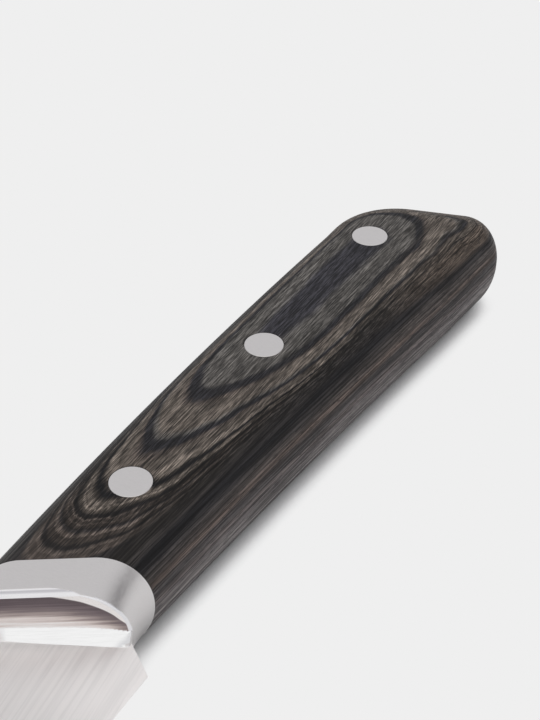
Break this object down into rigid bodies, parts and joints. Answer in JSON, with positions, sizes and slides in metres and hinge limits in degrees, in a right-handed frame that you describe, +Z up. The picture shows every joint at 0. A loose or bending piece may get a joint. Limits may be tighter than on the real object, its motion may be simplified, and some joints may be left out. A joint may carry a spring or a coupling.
{
  "type": "kiritsuke knife",
  "caption": "Small kiritsuke kitchen knife with a K-tip blade, a slanted steel bolster and a riveted handle of dark laminated wood.",
  "frame": {"origin": "centre of the knife's bounding box, on the surface that the lower cheek of the handle lies on", "axes": "+X along the knife toward the point of the blade, +Y toward the cutting edge, +Z up through the handle, square to the flat of the blade"},
  "size_m": [0.2674, 0.03, 0.0186],
  "materials": {
    "blade_steel": "satin",
    "bolster_steel": "satin",
    "rivet_steel": "satin",
    "laminated_wood": "satin"
  },
  "bodies": {
    "root": {"blade": "blade_steel", "bolster": "bolster_steel", "handle": "laminated_wood", "front_rivet_tube": "rivet_steel", "front_rivet_pin": "rivet_steel", "middle_rivet_tube": "rivet_steel", "middle_rivet_pin": "rivet_steel", "rear_rivet_tube": "rivet_steel", "rear_rivet_pin": "rivet_steel"}
  },
  "joints": []
}
